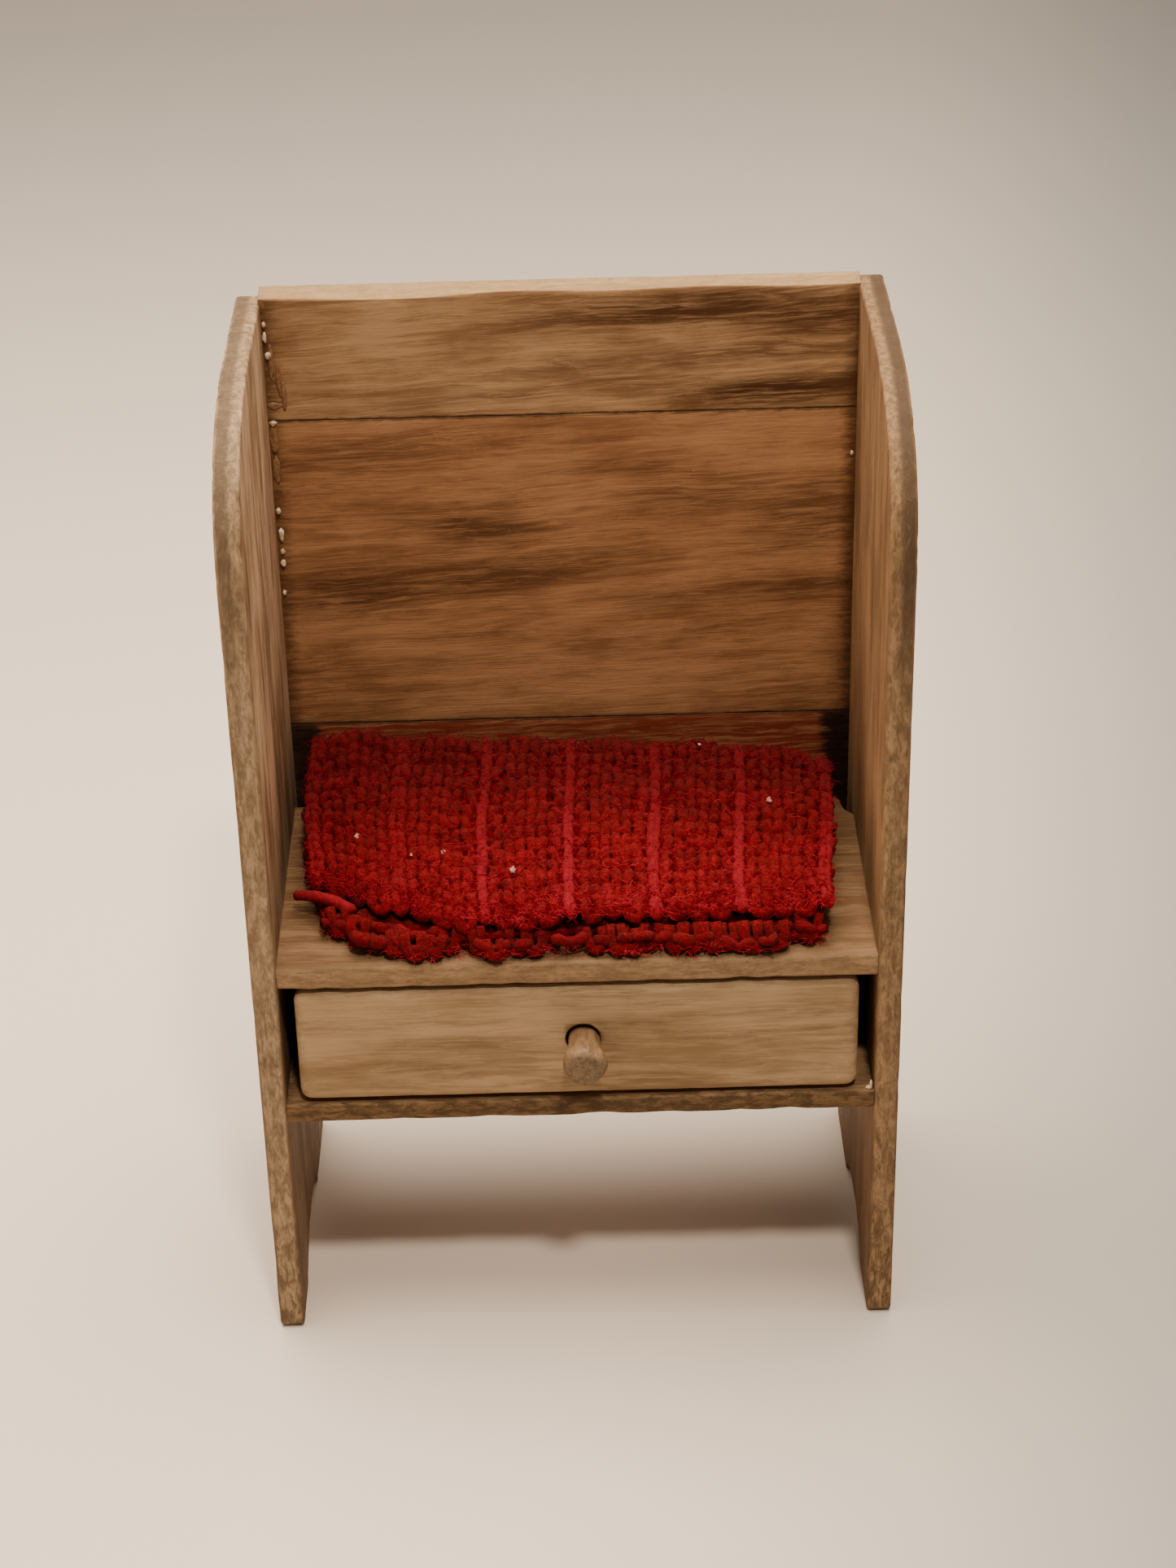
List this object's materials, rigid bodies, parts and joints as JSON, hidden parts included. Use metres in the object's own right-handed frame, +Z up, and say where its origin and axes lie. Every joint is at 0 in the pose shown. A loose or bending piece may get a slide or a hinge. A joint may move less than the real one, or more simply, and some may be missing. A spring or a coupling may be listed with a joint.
{
  "type": "miniature settle chair",
  "caption": "Doll's house high-backed wooden settle chair with winged sides, planked back, a drawer with a round knob under the seat, and a loose folded knitted pad.",
  "frame": {"origin": "on the floor, in the middle of the whole chair's footprint with the drawer knob included", "axes": "+Z up, -Y towards the front of the chair, +X to the right of someone looking at its front"},
  "size_m": [0.0598, 0.0386, 0.0954],
  "materials": {
    "side_wood": "stained and waxed softwood, grimy at the edges",
    "back_wood": "stained softwood planks with dark streaks",
    "seat_wood": "pale worn softwood",
    "drawer_wood": "lightly stained softwood",
    "knob_wood": "turned wood, handled smooth",
    "red_knit": "ribbed hand knitting in fluffy red yarn"
  },
  "bodies": {
    "chair": {"side_panel_left": "side_wood", "side_panel_right": "side_wood", "back_plank_top": "back_wood", "back_plank_middle": "back_wood", "back_plank_lower": "back_wood", "seat_board": "seat_wood", "drawer_shelf": "seat_wood"},
    "drawer": {"drawer_front": "drawer_wood", "drawer_side_left": "drawer_wood", "drawer_side_right": "drawer_wood", "drawer_bottom": "drawer_wood", "drawer_back": "drawer_wood", "drawer_knob": "knob_wood"},
    "pad": {"knitted_pad": "red_knit"}
  },
  "joints": [
    {"name": "drawer_slide", "type": "slide", "parent": "chair", "child": "drawer", "axis": [0, -1, 0], "range_m": [0, 0.024]},
    {"name": "pad_lift", "type": "slide", "parent": "chair", "child": "pad", "axis": [0, 0, 1], "range_m": [0, 0.1]}
  ]
}
